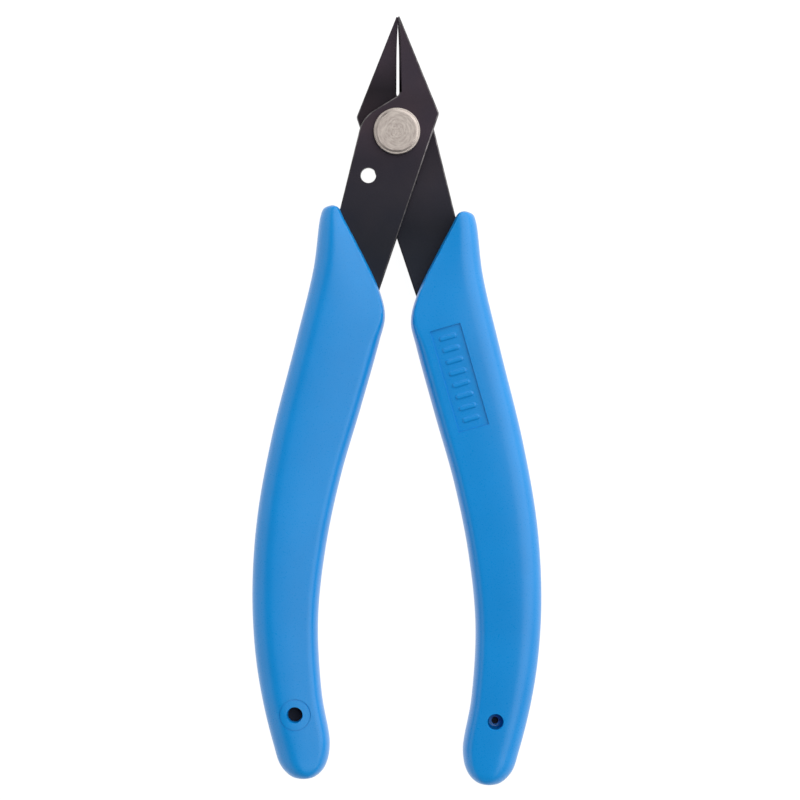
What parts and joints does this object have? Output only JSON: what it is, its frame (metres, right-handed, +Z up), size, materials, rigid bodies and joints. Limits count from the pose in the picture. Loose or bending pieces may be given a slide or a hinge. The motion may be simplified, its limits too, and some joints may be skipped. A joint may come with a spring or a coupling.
{
  "type": "flush cutter",
  "caption": "Small shear-type flush cutter: stamped steel plates on a rivet, spring-opened, with moulded blue grips.",
  "frame": {"origin": "middle of the underside of the tool's box, with the tool lying on the flat backs of its grips", "axes": "+Y towards the jaw tips, +Z up through the tool's thickness, parallel to the rivet, +X across to the right grip"},
  "size_m": [0.0482, 0.128, 0.009],
  "materials": {
    "black_steel": "black oxide, satin",
    "blue_grip": "matt moulded grip rubber",
    "turned_steel": "turned on a lathe, bright",
    "spring_wire": "drawn music wire"
  },
  "bodies": {
    "front_half": {"front_blade": "black_steel", "front_grip": "blue_grip", "pivot_rivet": "turned_steel", "rivet_collar": "turned_steel", "return_spring": "spring_wire"},
    "rear_half": {"rear_blade": "black_steel", "rear_grip": "blue_grip"}
  },
  "joints": [
    {"name": "pivot", "type": "hinge", "parent": "front_half", "child": "rear_half", "pos_m": [0.00002, 0.04477, 0.0045], "axis": [0, 0, 1], "range_deg": [-1.5, 14], "stiffness_Nm_per_rad": 0.39, "springref_deg": 18.91, "deforming": ["return_spring"]}
  ]
}
